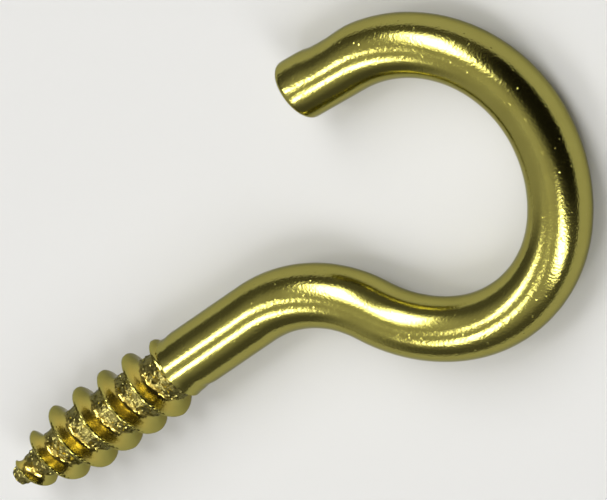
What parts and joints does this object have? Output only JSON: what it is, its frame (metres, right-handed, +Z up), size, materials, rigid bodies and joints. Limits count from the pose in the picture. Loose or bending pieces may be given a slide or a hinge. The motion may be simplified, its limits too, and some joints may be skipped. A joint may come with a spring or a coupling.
{
  "type": "cup hook",
  "caption": "Brass-plated wire screw hook with an open round hook and a tapered wood-screw thread, for hanging cups and light things.",
  "frame": {"origin": "on the screw's axis, where the thread's full depth ends and its run-out towards the shank begins", "axes": "+X along the screw's axis from the tip towards the hook, +Y towards the side on which the hook's open end lies, +Z square to the plane of the bent wire; the hook lies flat with +Z up"},
  "size_m": [0.0342, 0.0167, 0.0038],
  "materials": {
    "brass_plating": "bright brass plating over drawn steel wire, polished, with rough torn roots between the thread's ridges"
  },
  "bodies": {
    "root": {"cup_hook": "brass_plating"}
  },
  "joints": []
}
